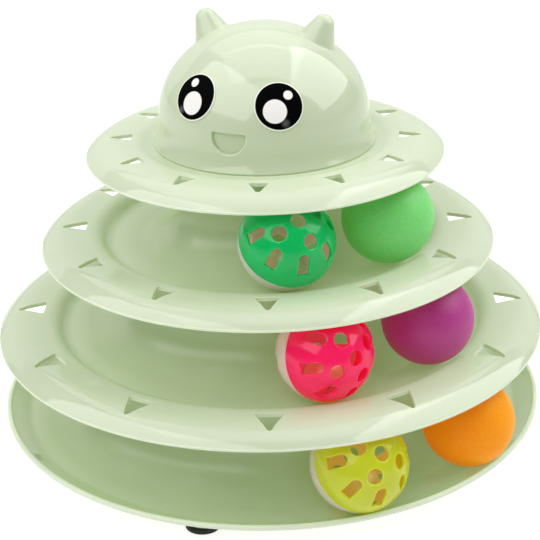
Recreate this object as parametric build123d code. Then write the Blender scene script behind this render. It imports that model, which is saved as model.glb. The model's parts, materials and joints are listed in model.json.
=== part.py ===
"""Cat ball track toy: three ring tiers stacked on a round tray, with a cat head on top.

Millimetres and degrees. +Z is up and the origin lies on the floor under the centre.
Angles about Z run from the front (-Y) towards +X.
"""
from build123d import *
import math
import os

os.makedirs("parts", exist_ok=True)

# Stack: walls, heights and fits
wall = 1.7
tier_pitch = 41.0
pad_thickness = 1.8
boss_height = 5.8
fit_clearance = 0.3
roll_clearance = 0.3
overrun = 5.0

# Base tray
base_rim_reach = 15.8
base_floor_outer = 5.0
base_floor_inner = 4.8
base_bend_radius = 6.0
rim_rise = 4.3
rim_bead_radius = 1.2

# Tier rings, measured from each ring's track circle or floor
brim_reach = 39.2
shoulder_inset = 13.0
crest_inset = 22.0
crest_height = 5.4
edge_drop = 0.4
floor_outer = 6.5
floor_inner = 4.0
cove_radius = 20.0
seat_offset = 1.3
spigot_depth = 6.0
spigot_wall = 2.0
top_floor_rise = 4.4

# Triangular holes in the brims
holes_per_ring = 12
hole_inset = 20.0
lower_hole_width = 12.3
middle_hole_width = 10.3
top_hole_width = 8.3
lower_hole_length = 13.8
middle_hole_length = 12.8
top_hole_length = 12.0
hole_tip_radius = 1.2
hole_corner_radius = 0.5
hole_edge_radius = 0.4
lower_hole_turn = -0.7
middle_hole_turn = -0.5
top_hole_turn = -2.9

# Feet
foot_count = 4
foot_turn = -17.0
foot_inset = 5.2
foot_radius = 7.6
boss_radius = 5.6
stub_radius = 3.0
stub_height = 3.0

# Cat head
head_wall = 2.2
head_foot_radius = 49.8
head_skirt_height = 11.3
head_dome_radius = 46.7
head_dome_height = 40.7
head_side_share = 0.885
head_room = 0.4
head_overlap = 9.5
collar_height = 6.0
collar_wall = 2.0
face_turn = -17.5
face_roll = 2.0
ear_spread = 98.0
ear_reach = 26.7
ear_rise = 40.1
ear_tip_radius = 4.9
ear_lean = 23.0
ear_half_angle = 23.0
ear_length = 22.0
ear_wall = 1.8
ear_root_radius = 2.0
eye_spread = 25.8
eye_height = 17.3
eye_radius = 10.2
eye_thickness = 0.4
eye_glue = 0.1
mouth_turn = -1.7
mouth_width = 14.6
mouth_drop = 8.8
mouth_height = 5.4
mouth_depth = 1.5
mouth_corner_radius = 1.2
mouth_edge_radius = 0.6

# Balls
plain_radius = 20.0
rattle_radius = 20.55
shell_wall = 1.2
seam_chamfer = 0.25
lip_height = 2.0
lip_wall = 0.5
lip_clearance = 0.1
pole_hole_radius = 3.2
ring_hole_angle = 28.0
ring_hole_count = 4
slot_angle = 54.5
slot_count = 8
slot_length = 9.3
slot_width = 4.8
ball_edge_radius = 0.4
bell_radius = 8.5
bell_wall = 0.6
bell_crimp_reach = 0.5
bell_crimp_height = 1.0
bell_slot_width = 2.0
bell_slot_end_radius = 1.6
bell_room = 0.2
pellet_radius = 2.2

# Level: name, plain ball, its angle, rattle ball's angle, pole azimuth, pole elevation, hole phase
levels = [
    ("yellow_rattle", "orange_ball", 50.5, 18.7, 31.4, 38.6, 55.7),
    ("pink_rattle", "purple_ball", 52.4, 15.0, 37.8, 14.2, 23.5),
    ("green_rattle", "light_green_ball", 55.3, 7.1, 20.9, 47.6, 20.0),
]

# Heights and radii that follow
half = wall / 2
base_floor = pad_thickness + boss_height + wall
brim_levels = [base_floor + level * tier_pitch for level in range(len(levels) + 1)]
floors = brim_levels[:-1] + [brim_levels[-1] + top_floor_rise]
seats = [floor - wall for floor in floors]

tracks = [head_foot_radius - head_overlap]
columns = []
for inner_reach in [floor_inner, floor_inner, base_floor_inner]:
    columns.insert(0, tracks[0] - seat_offset)
    tracks.insert(0, columns[0] + cove_radius + inner_reach)
base_track = tracks[0]
base_edge_radius = base_track + base_rim_reach
foot_circle = base_track - foot_inset


def around(angle, radius, height):
    """The place at an angle about Z, a distance from the axis and a height."""
    return Rot(0, 0, angle) * Pos(0, -radius, height)


def save(node, solid):
    """Write one node."""
    export_step(solid, f"parts/{node}.step")


def rectangle(left, right, bottom, top):
    """A rectangle in the section plane, from its four sides."""
    return Pos((left + right) / 2, (bottom + top) / 2) * Rectangle(right - left, top - bottom)


def column_line(start, seat):
    """The mid line of a cove and column, from the floor's inner end up past the seat."""
    turn = cove_radius + half
    top = (start[0] - turn, start[1] + turn)
    cove = TangentArc(start, top, tangent=(-1, 0))
    return cove + Line(top, (top[0], seat + overrun))


def shell_section(mid_line):
    """The section of an even wall about its mid line, with round ends."""
    return make_face(offset(mid_line, half, kind=Kind.ARC).edges())


def trimmed_column(section, column, seat):
    """A section whose column ends flat at the seat."""
    return section - rectangle(0, column + overrun, seat, seat + 2 * overrun)


def spigot(column, seat):
    """The section of the ring that plugs into the column below."""
    outer = column - wall - fit_clearance
    return rectangle(outer - spigot_wall, outer, seat - spigot_depth, seat + half)


def turned(section):
    """A section turned about Z."""
    return revolve(Plane.XZ * section, Axis.Z)


# Base tray
def base_tray():
    middle = floors[0] - half
    lip = (base_edge_radius - rim_bead_radius, floors[0] + rim_rise)
    floor_start = (base_track + base_floor_outer, middle)
    floor_end = (base_track - base_floor_inner, middle)
    dish = FilletPolyline(lip, floor_start, floor_end, radius=base_bend_radius)
    section = shell_section(dish + column_line(floor_end, seats[1]))
    section = trimmed_column(section, columns[0], seats[1])
    section = section + Pos(*lip) * Circle(rim_bead_radius)
    tray = turned(section)
    boss_top = floors[0] - half
    socket_depth = stub_height + fit_clearance
    for angle in foot_angles():
        boss = Pos(0, 0, (pad_thickness + boss_top) / 2) * Cylinder(boss_radius, boss_top - pad_thickness)
        socket = Pos(0, 0, pad_thickness + socket_depth / 2)
        socket = socket * Cylinder(stub_radius + fit_clearance, socket_depth)
        tray = tray + around(angle, foot_circle, 0) * boss
        tray = tray - around(angle, foot_circle, 0) * socket
    return tray


def foot_angles():
    """The angles of the feet about Z."""
    return [foot_turn + index * 360 / foot_count for index in range(foot_count)]


def foot_pad():
    pad = Pos(0, 0, pad_thickness / 2) * Cylinder(foot_radius, pad_thickness)
    stub = Pos(0, 0, pad_thickness + stub_height / 2) * Cylinder(stub_radius, stub_height)
    return pad + stub


# Tier rings
def brim_line(level, floor_reach):
    """The mid line from the lip over the crest to the start of the floor, and where it ends."""
    track = tracks[level]
    edge = track + brim_reach
    brim = brim_levels[level] + crest_height - half
    middle = floors[level] - half
    lip = (edge - half, brim_levels[level] - edge_drop)
    shoulder = (edge - shoulder_inset, brim)
    crest = (edge - crest_inset, brim)
    floor_start = (track + floor_reach, middle)
    bend = ((crest[0] + floor_start[0]) / 2, (brim + middle) / 2)
    line = TangentArc(shoulder, lip, tangent=(1, 0)) + Line(shoulder, crest)
    line = line + TangentArc(crest, bend, tangent=(-1, 0)) + TangentArc(floor_start, bend, tangent=(1, 0))
    return line, floor_start


def brim_height(level, radius):
    """The height of a brim's mid line at a distance from the axis."""
    brim = brim_levels[level] + crest_height - half
    across = shoulder_inset - half
    drop = crest_height - half + edge_drop
    bend = (across**2 + drop**2) / (2 * drop)
    beyond = max(radius - tracks[level] - brim_reach + shoulder_inset, 0)
    return brim - bend + math.sqrt(bend**2 - beyond**2)


def brim_hole(width, length):
    """One triangular hole: wide side towards the axis, tip outward."""
    outline = Polyline((-width / 2, 0), (width / 2, 0), (0, -length), close=True)
    triangle = make_face(outline.edges())
    corners = triangle.vertices().sort_by(Axis.Y)
    triangle = fillet(corners[0], hole_tip_radius)
    triangle = fillet(triangle.vertices().sort_by(Axis.Y)[-2:], hole_corner_radius)
    return extrude(triangle, amount=crest_height + wall + overrun)


def pierced(ring, level, width, length, turn):
    """A ring with its brim holes, their upper edges rounded."""
    base = tracks[level] + brim_reach - hole_inset
    hole = brim_hole(width, length)
    cutters = []
    for index in range(holes_per_ring):
        angle = turn + index * 360 / holes_per_ring
        cutters.append(around(angle, base, brim_levels[level] - edge_drop) * hole)
    ring = ring - cutters

    def on_top(edge):
        place = edge.center()
        radius = math.hypot(place.X, place.Y)
        beside = base - wall < radius < base + length
        return beside and edge.length < width + length and place.Z - brim_height(level, radius) > half / 2

    return fillet(ring.edges().filter_by(on_top), hole_edge_radius)


def column_tier(level, hole_width, hole_length, hole_turn):
    """A ring with a trough and a column for the tier above."""
    line, floor_start = brim_line(level, floor_outer)
    floor_end = (tracks[level] - floor_inner, floor_start[1])
    line = line + Line(floor_start, floor_end) + column_line(floor_end, seats[level + 1])
    section = trimmed_column(shell_section(line), columns[level], seats[level + 1])
    section = section + spigot(columns[level - 1], seats[level])
    return pierced(turned(section), level, hole_width, hole_length, hole_turn)


def top_tier(level, hole_width, hole_length, hole_turn):
    """The last ring: its floor is closed and has a collar for the head."""
    line, floor_start = brim_line(level, head_foot_radius + head_room + half - tracks[level])
    line = line + Line(floor_start, (0, floor_start[1]))
    section = shell_section(line) - rectangle(-wall, 0, seats[level] - wall, floors[level] + wall)
    section = section + spigot(columns[level - 1], seats[level])
    collar = head_foot_radius - head_wall - collar_draft() - fit_clearance
    collar_bottom = floors[level] - half
    section = section + rectangle(collar - collar_wall, collar, collar_bottom, floors[level] + collar_height)
    return pierced(turned(section), level, hole_width, hole_length, hole_turn)


def collar_draft():
    """How far the head's skirt draws in over the collar's height."""
    rise_share = 1 - collar_height / head_skirt_height
    return max(head_foot_radius - head_dome_radius, 0) * (1 - rise_share**2)


# Cat head
def head_side_radius():
    """The radius of the head's side, above its widest line."""
    return head_dome_height * head_side_share


def head_form(inset):
    """The turned form of the head, drawn in by an inset: a flared skirt, a round side and a crown."""
    foot = floors[-1]
    equator = foot + head_skirt_height
    side_radius = head_side_radius()
    hub = head_dome_radius - side_radius
    rise = head_dome_height - side_radius
    crown_radius = (hub**2 + head_dome_height**2 - side_radius**2) / (2 * rise)
    crown_drop = crown_radius - head_dome_height
    foot_point = (head_foot_radius - inset, foot)
    side = (head_dome_radius - inset, equator)
    reach = (side_radius - inset) / math.hypot(hub, crown_drop)
    shoulder = (hub + hub * reach, equator + crown_drop * reach)
    top = (0, equator + head_dome_height - inset)
    skirt = TangentArc(side, foot_point, tangent=(0, -1))
    flank = TangentArc(side, shoulder, tangent=(0, 1))
    crown = TangentArc(top, shoulder, tangent=(1, 0))
    closing = Line(top, (0, foot)) + Line((0, foot), foot_point)
    form = turned(make_face((skirt + flank + crown + closing).edges()))
    return Rot(0, 0, face_turn + 90) * form


def ear(inset):
    """A round cone with a ball tip, leaning outward, in the plane of its own angle."""
    tip = ear_tip_radius - inset
    slope = math.radians(ear_half_angle)
    neck = tip * math.cos(slope)
    foot = tip / math.cos(slope) + ear_length * math.tan(slope)
    lift = tip * math.sin(slope)
    cone = Pos(0, 0, (lift - ear_length) / 2) * Cone(foot, neck, ear_length + lift)
    return Rot(ear_lean, 0, 0) * (cone + Sphere(tip))


def ears(inset):
    """Both ears in place."""
    height = floors[-1] + head_skirt_height + ear_rise
    sides = [face_turn - ear_spread, face_turn + ear_spread]
    return [around(side, ear_reach, height) * ear(inset) for side in sides]


def mouth_cutter():
    """A half disc along the mouth's direction, rolled with the face, down to the sunk face of the mouth."""
    radius = mouth_width / 2
    drop = mouth_drop - mouth_corner_radius
    lower = Pos(0, -mouth_corner_radius) * scale(Circle(radius), by=(1, drop / radius, 1))
    lower = lower - rectangle(-radius - overrun, radius + overrun, -mouth_corner_radius, drop + overrun)
    upper = rectangle(-radius, radius, -mouth_corner_radius, 0)
    smile = lower + upper
    smile = fillet(smile.vertices().sort_by(Axis.Y)[-2:], mouth_corner_radius / 2)
    height = floors[-1] + head_skirt_height + mouth_height
    prism = extrude(Plane.XZ * Rot(0, 0, -face_roll) * smile, amount=head_foot_radius + overrun)
    return around(face_turn + mouth_turn, 0, height) * prism - head_form(mouth_depth)


def cat_head():
    outer = head_form(0) + ears(0)
    roots = outer.edges().filter_by(GeomType.BSPLINE).filter_by(lambda edge: edge.is_closed)
    outer = fillet(roots, ear_root_radius)
    head = outer - head_form(head_wall)
    head = head - ears(ear_wall) - mouth_cutter()
    skin = head_form(mouth_depth / 4)
    height = floors[-1] + head_skirt_height + mouth_height - mouth_drop / 2
    middle = around(face_turn + mouth_turn, head_dome_radius, height).position

    def on_rim(edge):
        place = edge.center()
        return (place - middle).length < mouth_width and not skin.is_inside(place)

    return fillet(head.edges().filter_by(on_rim), mouth_edge_radius)


def eye(side):
    """A thin disc that follows the dome, raised or lowered by the face's roll."""
    side_radius = head_side_radius()
    sideways = head_dome_radius * math.sin(math.radians(eye_spread))
    rise = eye_height - side * sideways * math.tan(math.radians(face_roll))
    lean = math.degrees(math.asin(rise / side_radius))
    across = head_dome_radius - side_radius + side_radius * math.cos(math.radians(lean))
    height = floors[-1] + head_skirt_height + rise
    punch = Rot(90 - lean, 0, 0) * Cylinder(eye_radius, eye_radius)
    punch = around(face_turn + side * eye_spread, across, height) * punch
    return punch & (head_form(-eye_glue - eye_thickness) - head_form(-eye_glue))


# Balls
def rattle_half(with_lip):
    """A half shell, pole up, pierced by a pole hole, a ring of holes and a ring of arched slots."""
    inner = rattle_radius - shell_wall
    block = Pos(0, 0, rattle_radius / 2) * Cylinder(rattle_radius + overrun, rattle_radius)
    half_shell = (Sphere(rattle_radius) - Sphere(inner)) & block
    rim = half_shell.edges().filter_by(GeomType.CIRCLE).group_by(Axis.Z)[0].sort_by(SortBy.RADIUS)[-1]
    half_shell = chamfer(rim, seam_chamfer)
    half_shell = half_shell - ball_holes()

    def on_skin(edge):
        place = edge.center()
        return place.Z > lip_height and place.length > rattle_radius - shell_wall / 4

    half_shell = fillet(half_shell.edges().filter_by(on_skin), ball_edge_radius)
    if with_lip:
        outer = math.sqrt(inner**2 - lip_height**2) - lip_clearance
        tongue = Pos(0, 0, -lip_height / 2) * Cylinder(outer, lip_height)
        root = Pos(0, 0, lip_height / 2) * Cylinder(inner + shell_wall / 2, lip_height)
        bore = Cylinder(outer - lip_wall, 2 * lip_height + overrun)
        half_shell = half_shell + (tongue + root - bore)
    return half_shell


def ball_holes():
    """The cutters of one half: pole hole, ring holes and slots."""
    reach = rattle_radius + overrun
    hole = extrude(Circle(pole_hole_radius), amount=reach)
    arch = slot_width / 2
    straight = slot_length - arch
    door = Pos(slot_length / 2 - straight / 2, 0) * Rectangle(straight, slot_width)
    door = door + Pos(arch - slot_length / 2, 0) * Circle(arch)
    slot = extrude(door, amount=reach)
    cutters = [hole]
    for index in range(ring_hole_count):
        cutters.append(Rot(0, 0, index * 360 / ring_hole_count) * Rot(0, ring_hole_angle, 0) * hole)
    for index in range(slot_count):
        turn = (index + 1 / 2) * 360 / slot_count
        cutters.append(Rot(0, 0, turn) * Rot(0, slot_angle, 0) * slot)
    return cutters


def bell_drop():
    """How far the bell lies below the centre of its ball."""
    inner = rattle_radius - shell_wall
    lip_bore = math.sqrt(inner**2 - lip_height**2) - lip_clearance - lip_wall
    return lip_bore - bell_room - bell_radius


def bell():
    """A hollow round bell with a crimped waist and crossed slots below."""
    crimp = Cylinder(bell_radius + bell_crimp_reach, bell_crimp_height)
    body = Sphere(bell_radius) + crimp - Sphere(bell_radius - bell_wall)
    depth = bell_radius - 2 * bell_slot_end_radius
    slot = Pos(0, 0, -bell_radius + depth / 2) * Box(2 * bell_radius + overrun, bell_slot_width, depth)
    end = Rot(0, 90, 0) * Cylinder(bell_slot_end_radius, 2 * bell_radius + overrun)
    cutter = slot + Pos(0, 0, depth - bell_radius) * end
    return body - cutter - Rot(0, 0, 90) * cutter


def pellet_drop():
    """How far the pellet lies below the centre of its bell."""
    return bell_radius - bell_wall - roll_clearance - pellet_radius


def pole_plane(centre, azimuth, elevation):
    """The plane through a ball's centre whose normal is the pole of its coloured half."""
    flat = math.cos(math.radians(elevation))
    turn = math.radians(azimuth)
    pole = Vector(flat * math.sin(turn), -flat * math.cos(turn), math.sin(math.radians(elevation)))
    return Plane(origin=centre, x_dir=Vector(0, 0, 1).cross(pole), z_dir=pole)


def write_balls():
    """The balls of every level: a rattle ball with its bell and pellet, and a plain ball."""
    coloured = rattle_half(True)
    ivory = rattle_half(False)
    chime = bell()
    for level, row in enumerate(levels):
        rattle, plain, plain_angle, rattle_angle, azimuth, elevation, phase = row
        rest = floors[level] + roll_clearance
        centre = around(rattle_angle, tracks[level], rest + rattle_radius)
        plane = pole_plane(centre.position, azimuth, elevation)
        save(f"{rattle}_coloured_shell", plane * Rot(0, 0, phase) * coloured)
        save(f"{rattle}_ivory_shell", plane * Rot(180, 0, phase) * ivory)
        bell_place = centre * Pos(0, 0, -bell_drop())
        save(f"{rattle}_bell", bell_place * chime)
        save(f"{rattle}_pellet", bell_place * Pos(0, 0, -pellet_drop()) * Sphere(pellet_radius))
        save(plain, around(plain_angle, tracks[level], rest + plain_radius) * Sphere(plain_radius))


save("base_tray", base_tray())
for number, angle in enumerate(foot_angles(), start=1):
    save(f"foot_pad_{number}", around(angle, foot_circle, 0) * foot_pad())
save("lower_tier", column_tier(1, lower_hole_width, lower_hole_length, lower_hole_turn))
save("middle_tier", column_tier(2, middle_hole_width, middle_hole_length, middle_hole_turn))
save("top_tier", top_tier(3, top_hole_width, top_hole_length, top_hole_turn))
save("cat_head", cat_head())
save("left_eye", eye(-1))
save("right_eye", eye(1))
write_balls()
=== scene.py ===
"""Looks of the cat ball track toy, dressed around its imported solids.

Metres and degrees. +Z is up, the front is -Y, and angles about Z run from the front towards +X.
"""

import json
import math

import bmesh
import bpy
from mathutils import Matrix, Vector


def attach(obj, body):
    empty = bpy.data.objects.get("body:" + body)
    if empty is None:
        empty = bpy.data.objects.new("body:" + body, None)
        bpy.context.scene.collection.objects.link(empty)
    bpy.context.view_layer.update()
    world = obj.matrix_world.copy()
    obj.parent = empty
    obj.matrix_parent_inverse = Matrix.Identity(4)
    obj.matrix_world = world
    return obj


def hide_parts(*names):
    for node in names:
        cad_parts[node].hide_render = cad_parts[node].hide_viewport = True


# Camera
camera_place = Vector((0, -0.634, 0.3544))
camera_tilt = math.radians(24.0)
camera_pan = math.radians(0.06)
camera_roll = math.radians(1.58)
image_side = 540
focal_pixels = 1501.8
sensor_side = 36.0

# Light panels: azimuth, elevation, distance from the target, width, height and radiance
panels = {
    "right_panel": (96, 43, 0.95, 1.05, 0.88, 2.75),
    "left_panel": (-60, 46, 0.95, 1.60, 0.85, 2.35),
    "back_panel": (180, 52, 1.10, 1.20, 0.60, 1.1),
    "top_panel": (180, 84, 1.20, 1.30, 0.90, 1.30),
    "backdrop": (180, 16, 1.60, 3.60, 1.00, 0.7),
    "front_panel": (5, 22, 1.20, 1.20, 0.40, 0.8),
}
unreflected_panels = ("front_panel",)
light_target = Vector((0, 0, 0.13))

# World: its strength as a light and as the background
world_colour = (1.0, 1.0, 1.0, 1)
world_light = 0.08
world_seen = 0.85

# Floor: its tints, and its glow in view and as a light on the toy
floor_side = 8.0
floor_tints = ((0.40, 0.40, 0.395, 1), (0.38, 0.38, 0.375, 1))
floor_glow_colour = (1, 1, 1, 1)
floor_seen = 0.80
floor_bounce = 0.60

# Base tray's rim, as in the solid: its circle, its round, the leans that this spans, and its polished width
rim_radius = 0.1238
rim_height = 0.0136
rim_round = 0.0012
rim_span = (-106.8, 163.1)
rim_width = 0.0014

# Tiers' lips, as in the solids: the lowest one's circle, the steps to the next, and the polished brim's width
tiers = ("lower_tier", "middle_tier", "top_tier")
lip_radius = 0.12405
lip_radius_step = 0.0227
lip_height = 0.0499
tier_rise = 0.041
lip_round = 0.00085
lip_span = (-134.3, 45.7)
brim_width = 0.02095

# Strip that renews a lip: how near the old faces lie to its round, and its divisions around and across
strip_tolerance = 0.00002
strip_sides = 540
strip_steps = 20

# Head, as in the solids: the circle and radius of its round side, the eyes' thickness and the mouth's depth
head_equator = 0.148
head_side_circle = 0.01068
head_side_radius = 0.03602
eye_thickness = 0.0005
mouth_depth = 0.0015
# Painted shade in the sunk mouth: it fades in between these shares of the mouth's depth, to this colour
mouth_start_share = 0.25
mouth_full_share = 0.75
mouth_shade_colour = (0.46, 0.49, 0.40, 1)

# Eye prints: angle about Z and lean above the equator of the middle, large glint, small glint and streak
eyes = {
    "left_eye": ((-43.30, 30.00), (-43.36, 25.36), (-46.89, 38.95), (-50.22, 19.15)),
    "right_eye": ((8.30, 27.42), (5.82, 23.96), (14.16, 33.98), (11.00, 15.83)),
}
eye_black_radius = 0.0099
large_glint_radius = 0.0050
small_glint_radius = 0.00195
streak_radius = 0.0022
print_blur = 0.00012
print_grain = 0.0005
print_gloss = (0.55, 0.65)
print_shine = 0.02
border_tints = ((0.86, 0.88, 0.80, 1), (0.90, 0.92, 0.85, 1))
black_tints = ((0.0005, 0.0005, 0.0005, 1), (0.0015, 0.0015, 0.0015, 1))
white_tints = ((0.79, 0.77, 0.74, 1), (0.83, 0.81, 0.78, 1))
streak_colour = (0.10, 0.10, 0.10, 1)

# Surfaces: sizes of the colour clouds and of the grain, the grain's depth, and the range of roughness
surfaces = {
    "polished_mint": (0.09, 0.0016, 0.0000006, (0.03, 0.05)),
    "satin_mint": (0.09, 0.0016, 0.0000006, (0.20, 0.26)),
    "rattle": (0.02, 0.0012, 0.000001, (0.08, 0.12)),
    "ball": (0.0009, 0.0006, 0.00002, (0.42, 0.55)),
    "rubber": (0.006, 0.0007, 0.00003, (0.55, 0.75)),
    "bell": (0.004, 0.0004, 0.00001, (0.40, 0.55)),
    "pellet": (0.002, 0.0003, 0.00001, (0.2, 0.3)),
    "floor": (0.4, 0.01, 0.00001, (0.5, 0.6)),
}
cloud_detail = 2.0
grain_detail = 3.0
noise_low = 0.3
noise_high = 0.7
bump_strength = 1.0

# Mint plastic: tints, the share of light that enters, how far, its shares per colour, and a painted green
# glow that lightens its shade
mint_tints = ((0.52, 0.55, 0.46, 1), (0.50, 0.53, 0.44, 1))
# Lips: lighter tints, a painted highlight along their edges
lip_highlight_tints = ((0.68, 0.71, 0.63, 1), (0.66, 0.69, 0.61, 1))
mint_entry_share = 0.4
mint_entry_depth = 0.0015
mint_entry_shares = (1.0, 1.0, 0.5)
mint_glow_colour = (0.50, 1.0, 0.0, 1)
mint_glow = 0.09
plastic_ior = 1.5

# Rattle balls: tints, the shares of light that go in, the colour and strength of a painted glow, and the
# light inside
rattles = {
    "yellow": {
        "tints": ((0.33, 0.52, 0.035, 1), (0.30, 0.48, 0.03, 1)),
        "shares": (1.0, 0.6, 0.1),
        "glow": ((0.9, 0.5, 0.0, 1), 0.20),
        "inside": (0.64, 0.40, 0.08, 1),
    },
    "pink": {
        "tints": ((0.58, 0.02, 0.14, 1), (0.54, 0.015, 0.12, 1)),
        "shares": (1.0, 0.1, 0.2),
        "glow": ((1.0, 0.0, 0.02, 1), 0.28),
        "inside": (0.72, 0.05, 0.10, 1),
    },
    "green": {
        "tints": ((0.008, 0.43, 0.12, 1), (0.007, 0.40, 0.11, 1)),
        "shares": (0.1, 0.8, 0.3),
        "glow": ((0.0, 0.3, 0.05, 1), 0.16),
        "inside": (0.42, 0.34, 0.24, 1),
    },
}
rattle_entry_share = 1.0
rattle_entry_depth = 0.006
rattle_shine = 0.35
ivory_tints = ((0.76, 0.71, 0.60, 1), (0.72, 0.67, 0.55, 1))
ivory_shares = (1.0, 0.8, 0.5)

# Inside of a rattle ball: the radius between the faces of its shells, and the light on ivory and bell
shell_middle_radius = 0.01995
inside_blur = 0.0002
inside_glow = 0.32
bell_glow = 0.22
bell_tints = ((0.80, 0.66, 0.36, 1), (0.70, 0.56, 0.28, 1))
bell_metal_share = 0.6
pellet_tints = ((0.56, 0.57, 0.58, 1), (0.48, 0.49, 0.50, 1))
pellet_metal_share = 1.0

# Plain balls: tints, the shares of light that go in, the colour and strength of a painted glow, and the shine
balls = {
    "orange": {
        "tints": ((0.64, 0.36, 0.01, 1), (0.58, 0.32, 0.01, 1)),
        "shares": (1.0, 0.35, 0.05),
        "glow": ((1.0, 0.03, 0.0, 1), 0.34),
        "shine": 0.12,
    },
    "purple": {
        "tints": ((0.32, 0.035, 0.25, 1), (0.27, 0.025, 0.21, 1)),
        "shares": (1.0, 0.2, 0.6),
        "glow": ((1.0, 0.0, 0.10, 1), 0.13),
        "shine": 0.65,
    },
    "light_green": {
        "tints": ((0.20, 0.63, 0.19, 1), (0.17, 0.57, 0.16, 1)),
        "shares": (0.4, 1.0, 0.2),
        "glow": ((0.1, 0.6, 0.0, 1), 0.08),
        "shine": 0.5,
    },
}
ball_entry_share = 1.0
ball_entry_depth = 0.008

# Feet
foot_count = 4
rubber_tints = ((0.020, 0.020, 0.021, 1), (0.010, 0.010, 0.011, 1))

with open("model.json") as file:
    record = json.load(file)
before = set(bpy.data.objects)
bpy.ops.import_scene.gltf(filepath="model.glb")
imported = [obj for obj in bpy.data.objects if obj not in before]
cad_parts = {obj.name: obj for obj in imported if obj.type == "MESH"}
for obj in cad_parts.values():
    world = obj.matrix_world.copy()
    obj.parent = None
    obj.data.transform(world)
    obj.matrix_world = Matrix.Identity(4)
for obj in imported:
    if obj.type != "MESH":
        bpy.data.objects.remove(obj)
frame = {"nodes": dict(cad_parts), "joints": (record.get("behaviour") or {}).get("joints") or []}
nodes = frame["nodes"]
joints = {joint["name"]: joint for joint in frame["joints"]}
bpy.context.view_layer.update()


def around(angle, radius, height):
    """The point at an angle about Z, a distance from the axis and a height."""
    turn = math.radians(angle)
    return Vector((radius * math.sin(turn), -radius * math.cos(turn), height))


def on_round(angle, lean, circle, height, radius):
    """The point at an angle about Z and a lean above the level, on a round about a circle."""
    slope = math.radians(lean)
    return around(angle, circle + radius * math.cos(slope), height + radius * math.sin(slope))


# Shader nodes
def new_material(name, settings):
    """A material with its node tree and shader, and the shader's plain settings."""
    material = bpy.data.materials.new(name)
    material.use_nodes = True
    tree = material.node_tree
    shader = tree.nodes["Principled BSDF"]
    for socket, value in settings.items():
        shader.inputs[socket].default_value = value
    return material, tree, shader


def object_point(tree):
    """The point on the surface, in metres in the object's own frame."""
    return tree.nodes.new("ShaderNodeTexCoord").outputs["Object"]


def noise(tree, point, size, detail):
    """Noise whose blotches are about one size across."""
    node = tree.nodes.new("ShaderNodeTexNoise")
    node.inputs["Scale"].default_value = 1 / size
    node.inputs["Detail"].default_value = detail
    tree.links.new(point, node.inputs["Vector"])
    return node.outputs["Fac"]


def spread(tree, value, low, high, to_low, to_high):
    """A value taken from one range to another."""
    node = tree.nodes.new("ShaderNodeMapRange")
    node.inputs["From Min"].default_value = low
    node.inputs["From Max"].default_value = high
    node.inputs["To Min"].default_value = to_low
    node.inputs["To Max"].default_value = to_high
    tree.links.new(value, node.inputs["Value"])
    return node.outputs["Result"]


def blend_colours(tree, factor, first, second):
    """A colour between two others, each a colour or a socket."""
    node = tree.nodes.new("ShaderNodeMix")
    node.data_type = "RGBA"
    tree.links.new(factor, node.inputs["Factor"])
    for name, colour in (("A", first), ("B", second)):
        target = next(i for i in node.inputs if i.name == name and i.type == "RGBA")
        if isinstance(colour, tuple):
            target.default_value = colour
        else:
            tree.links.new(colour, target)
    return next(o for o in node.outputs if o.type == "RGBA")


def calculate(tree, kind, operation, *values):
    """The result of a vector or number sum on sockets and plain values."""
    node = tree.nodes.new(f"ShaderNode{kind}")
    node.operation = operation
    for socket, value in zip(node.inputs, values):
        if isinstance(value, (int, float, tuple)):
            socket.default_value = value
        else:
            tree.links.new(value, socket)
    return next(socket for socket in node.outputs if socket.enabled)


def distance_to(tree, point, centre):
    """The distance from a surface point to a centre."""
    return calculate(tree, "VectorMath", "DISTANCE", point, tuple(centre))


def cover(tree, colour, distance, radius, blur, paint):
    """A colour painted over with a disc of another around a centre."""
    inside = spread(tree, distance, radius - blur, radius + blur, 1, 0)
    return blend_colours(tree, inside, colour, paint)


def add_bump(tree, shader, height, depth):
    """A bump of a depth in metres on a shader."""
    node = tree.nodes.new("ShaderNodeBump")
    node.inputs["Distance"].default_value = depth
    node.inputs["Strength"].default_value = bump_strength
    tree.links.new(height, node.inputs["Height"])
    tree.links.new(node.outputs["Normal"], shader.inputs["Normal"])


def seen_strength(tree, seen, elsewhere):
    """A strength in view, and another where it lights the rest of the scene."""
    in_view = tree.nodes.new("ShaderNodeLightPath").outputs["Is Camera Ray"]
    return spread(tree, in_view, 0, 1, elsewhere, seen)


# Shader settings
def translucent(share, depth, shares):
    """Settings of a plastic that light enters: its share, how far it goes, and by how much per colour."""
    return {
        "Subsurface Weight": share,
        "Subsurface Scale": depth,
        "Subsurface Radius": shares,
        "IOR": plastic_ior,
    }


def glowing(colour, strength):
    """Settings of an even glow."""
    return {"Emission Color": colour, "Emission Strength": strength}


def shining(level):
    """Setting of a surface's shine."""
    return {"Specular IOR Level": level}


# Materials
def moulded(name, tints, surface, **settings):
    """A moulded surface: its colour drifts between two tints, and a fine grain moves its gloss and height."""
    light, deep = tints
    cloud, grain, depth, gloss = surfaces[surface]
    material, tree, shader = new_material(name, settings)
    point = object_point(tree)
    drift = spread(tree, noise(tree, point, cloud, cloud_detail), noise_low, noise_high, 0, 1)
    tree.links.new(blend_colours(tree, drift, deep, light), shader.inputs["Base Color"])
    speckle = noise(tree, point, grain, grain_detail)
    tree.links.new(spread(tree, speckle, noise_low, noise_high, *gloss), shader.inputs["Roughness"])
    add_bump(tree, shader, speckle, depth)
    return material


def mint_plastic(name, tints, surface):
    """Plastic of the tray, the tiers and the head, with an even painted green glow that lightens its shade.
    """
    return moulded(
        name,
        tints,
        surface,
        **translucent(mint_entry_share, mint_entry_depth, mint_entry_shares),
        **glowing(mint_glow_colour, mint_glow),
    )


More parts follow.
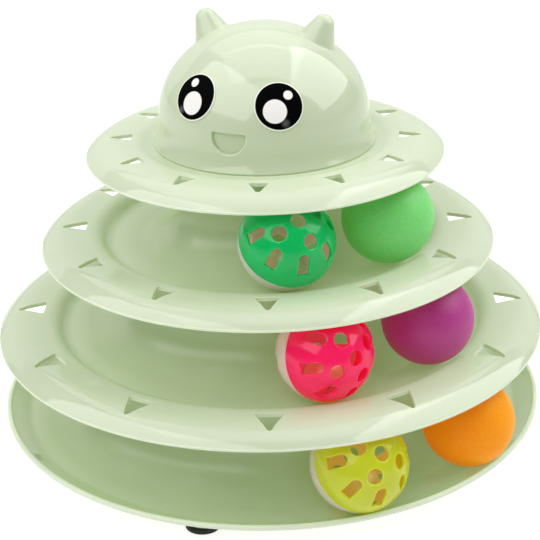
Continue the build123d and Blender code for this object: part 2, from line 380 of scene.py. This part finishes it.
def head_plastic(name):
    """Mint plastic with painted shade in the sunk mouth, set by its depth under the head's round side."""
    material = mint_plastic(name, mint_tints, "polished_mint")
    tree = material.node_tree
    shader = tree.nodes["Principled BSDF"]
    point = object_point(tree)
    level = calculate(tree, "VectorMath", "MULTIPLY", point, (1, 1, 0))
    reach = calculate(tree, "VectorMath", "LENGTH", level)
    across = calculate(tree, "Math", "SUBTRACT", reach, head_side_circle)
    split = tree.nodes.new("ShaderNodeSeparateXYZ")
    tree.links.new(point, split.inputs["Vector"])
    rise = calculate(tree, "Math", "SUBTRACT", split.outputs["Z"], head_equator)
    across_square = calculate(tree, "Math", "MULTIPLY", across, across)
    rise_square = calculate(tree, "Math", "MULTIPLY", rise, rise)
    squares = calculate(tree, "Math", "ADD", across_square, rise_square)
    depth = calculate(tree, "Math", "SUBTRACT", head_side_radius, calculate(tree, "Math", "SQRT", squares))
    start = mouth_depth * mouth_start_share
    full = mouth_depth * mouth_full_share
    painted_shade = spread(tree, depth, start, full, 0, 1)
    plain = shader.inputs["Base Color"].links[0].from_socket
    tree.links.new(blend_colours(tree, painted_shade, plain, mouth_shade_colour), shader.inputs["Base Color"])
    return material


def rattle_plastic(name, tints, shares, glow):
    """Glossy plastic of a rattle ball's shell, with an even painted glow."""
    return moulded(
        name,
        tints,
        "rattle",
        **translucent(rattle_entry_share, rattle_entry_depth, shares),
        **glowing(*glow),
        **shining(rattle_shine),
    )


def ivory_plastic(name, middle, inside):
    """Ivory plastic with the light of the coloured half on its inner face."""
    material = rattle_plastic(name, ivory_tints, ivory_shares, (inside, 0))
    tree = material.node_tree
    shader = tree.nodes["Principled BSDF"]
    distance = distance_to(tree, object_point(tree), middle)
    outer = shader.inputs["Base Color"].links[0].from_socket
    colour = cover(tree, outer, distance, shell_middle_radius, inside_blur, inside)
    tree.links.new(colour, shader.inputs["Base Color"])
    low = shell_middle_radius - inside_blur
    high = shell_middle_radius + inside_blur
    lit = spread(tree, distance, low, high, inside_glow, 0)
    tree.links.new(lit, shader.inputs["Emission Strength"])
    return material


def bell_metal(name, inside):
    """Plated metal with the light of the coloured half on it."""
    return moulded(name, bell_tints, "bell", Metallic=bell_metal_share, **glowing(inside, bell_glow))


def ball_plastic(name, tints, shares, glow, shine):
    """Speckled satin plastic of a plain ball, with an even painted glow."""
    return moulded(
        name,
        tints,
        "ball",
        **translucent(ball_entry_share, ball_entry_depth, shares),
        **glowing(*glow),
        **shining(shine),
    )


def eye_print(name, middle, large_glint, small_glint, streak):
    """Printed vinyl: a pale border, a black disc, a faint streak and two glints."""
    material, tree, shader = new_material(name, shining(print_shine))
    point = object_point(tree)
    speckle = noise(tree, point, print_grain, cloud_detail)
    border = blend_colours(tree, speckle, *border_tints)
    black = blend_colours(tree, speckle, *black_tints)
    white = blend_colours(tree, speckle, *white_tints)
    half = streak_radius / 2
    discs = (
        (middle, eye_black_radius, print_blur, black),
        (streak, half, half, streak_colour),
        (large_glint, large_glint_radius, print_blur, white),
        (small_glint, small_glint_radius, print_blur, white),
    )
    colour = border
    for centre, radius, blur, paint in discs:
        colour = cover(tree, colour, distance_to(tree, point, centre), radius, blur, paint)
    tree.links.new(colour, shader.inputs["Base Color"])
    gloss = spread(tree, speckle, noise_low, noise_high, *print_gloss)
    tree.links.new(gloss, shader.inputs["Roughness"])
    return material


# Pieces
def dress(name, material):
    """Give a CAD node its material."""
    mesh = nodes[name].data
    mesh.materials.clear()
    mesh.materials.append(material)


def lip_strip(work, radius, height, round_radius, span, slot):
    """Add an even strip round a lip to a mesh."""
    low, high = span
    rows = []
    for side in range(strip_sides):
        row = []
        for step in range(strip_steps + 1):
            lean = low + (high - low) * step / strip_steps
            point = on_round(side * 360 / strip_sides, lean, radius, height, round_radius)
            row.append(work.verts.new(point))
        rows.append(row)
    for first, second in zip(rows, rows[1:] + rows[:1]):
        for step in range(strip_steps):
            face = work.faces.new((first[step], second[step], second[step + 1], first[step + 1]))
            face.smooth = True
            face.material_index = slot


def ring_piece(name, body, radius, height, round_radius, span, polished_width):
    """A ring that stands for its node: the same skin, with an even lip in a lighter tint that is a painted
    highlight, and a satin trough.
    """
    plain_slot, lip_highlight_slot, satin_slot = range(len(ring_materials))
    mesh = nodes[name].data.copy()
    work = bmesh.new()
    work.from_mesh(mesh)

    def on_lip(vertex):
        across = math.hypot(vertex.co.x, vertex.co.y) - radius
        return abs(math.hypot(across, vertex.co.z - height) - round_radius) < strip_tolerance

    def in_trough(vertex):
        return math.hypot(vertex.co.x, vertex.co.y) < radius - polished_width

    old = [face for face in work.faces if all(on_lip(vertex) for vertex in face.verts)]
    bmesh.ops.delete(work, geom=old, context="FACES")
    for face in work.faces:
        satin = all(in_trough(vertex) for vertex in face.verts)
        face.material_index = satin_slot if satin else plain_slot
    lip_strip(work, radius, height, round_radius, span, lip_highlight_slot)
    mesh.materials.clear()
    for material in ring_materials:
        mesh.materials.append(material)
    work.to_mesh(mesh)
    work.free()
    piece = bpy.data.objects.new(f"{name}_ring", mesh)
    bpy.context.scene.collection.objects.link(piece)
    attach(piece, body)
    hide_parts(name)


# Tray, tiers, head and feet
ring_materials = (
    mint_plastic("mint_plastic", mint_tints, "polished_mint"),
    # The lips' material: its lighter tint is a painted highlight
    mint_plastic("lip_highlight_mint_plastic", lip_highlight_tints, "polished_mint"),
    mint_plastic("satin_mint_plastic", mint_tints, "satin_mint"),
)
ring_piece("base_tray", "base", rim_radius, rim_height, rim_round, rim_span, rim_width)
for level, name in enumerate(tiers):
    radius = lip_radius - lip_radius_step * level
    height = lip_height + tier_rise * level
    ring_piece(name, name, radius, height, lip_round, lip_span, brim_width)
dress("cat_head", head_plastic("head_mint_plastic"))
eye_face_radius = head_side_radius + eye_thickness
for name, places in eyes.items():
    points = [on_round(*place, head_side_circle, head_equator, eye_face_radius) for place in places]
    dress(name, eye_print(f"{name}_print", *points))
rubber = moulded("black_rubber", rubber_tints, "rubber")
for number in range(1, foot_count + 1):
    dress(f"foot_pad_{number}", rubber)

# Balls: bounced light passes the plain ones, so that their colours stay off the trays
pellet_steel = moulded("pellet_steel", pellet_tints, "pellet", Metallic=pellet_metal_share)
for colour, looks in rattles.items():
    middle = joints[f"{colour}_roll"]["pos_m"]
    plastic = rattle_plastic(f"{colour}_plastic", looks["tints"], looks["shares"], looks["glow"])
    dress(f"{colour}_rattle_coloured_shell", plastic)
    dress(f"{colour}_rattle_ivory_shell", ivory_plastic(f"{colour}_rattle_ivory", middle, looks["inside"]))
    dress(f"{colour}_rattle_bell", bell_metal(f"{colour}_bell_metal", looks["inside"]))
    dress(f"{colour}_rattle_pellet", pellet_steel)
for colour, looks in balls.items():
    dress(f"{colour}_ball", ball_plastic(f"{colour}_plastic", **looks))
    nodes[f"{colour}_ball"].visible_diffuse = False


# Studio
def make_floor():
    """A pale floor that glows, more in view than as a light on the toy."""
    half = floor_side / 2
    mesh = bpy.data.meshes.new("floor")
    corners = [(-half, -half, 0), (half, -half, 0), (half, half, 0), (-half, half, 0)]
    mesh.from_pydata(corners, [], [(0, 1, 2, 3)])
    floor = bpy.data.objects.new("floor", mesh)
    bpy.context.scene.collection.objects.link(floor)
    material = moulded("pale_floor", floor_tints, "floor", **glowing(floor_glow_colour, floor_seen))
    tree = material.node_tree
    glow = seen_strength(tree, floor_seen, floor_bounce)
    tree.links.new(glow, tree.nodes["Principled BSDF"].inputs["Emission Strength"])
    mesh.materials.append(material)


def make_world():
    """A white world, dim as a light and bright as the background."""
    world = bpy.data.worlds.new("studio")
    world.use_nodes = True
    tree = world.node_tree
    background = tree.nodes["Background"]
    background.inputs["Color"].default_value = world_colour
    strength = seen_strength(tree, world_seen, world_light)
    tree.links.new(strength, background.inputs["Strength"])
    bpy.context.scene.world = world


def make_panel(name, azimuth, elevation, distance, width, height, radiance):
    """A soft light panel that faces the target."""
    data = bpy.data.lights.new(name, "AREA")
    data.shape = "RECTANGLE"
    data.size = width
    data.size_y = height
    data.energy = radiance * math.pi * width * height
    rise = math.radians(elevation)
    towards = around(azimuth, math.cos(rise), math.sin(rise))
    panel = bpy.data.objects.new(name, data)
    panel.location = light_target + towards * distance
    panel.rotation_euler = towards.to_track_quat("Z", "Y").to_euler()
    panel.visible_glossy = name not in unreflected_panels
    bpy.context.scene.collection.objects.link(panel)


def make_camera():
    """The camera at the photograph's place, with its tilt, pan and roll."""
    data = bpy.data.cameras.new("camera")
    data.sensor_width = sensor_side
    data.lens = sensor_side * focal_pixels / image_side
    flat = math.cos(camera_tilt)
    forward = Vector((math.sin(camera_pan) * flat, math.cos(camera_pan) * flat, -math.sin(camera_tilt)))
    right = Vector((math.cos(camera_pan), -math.sin(camera_pan), 0))
    down = forward.cross(right)
    image_right = right * math.cos(camera_roll) + down * math.sin(camera_roll)
    image_down = down * math.cos(camera_roll) - right * math.sin(camera_roll)
    turn = Matrix((image_right, -image_down, -forward)).transposed().to_4x4()
    camera = bpy.data.objects.new("camera", data)
    camera.matrix_world = Matrix.Translation(camera_place) @ turn
    bpy.context.scene.collection.objects.link(camera)
    bpy.context.scene.camera = camera


make_floor()
make_world()
for name, panel in panels.items():
    make_panel(name, *panel)
make_camera()
bpy.context.scene.view_settings.view_transform = "Standard"
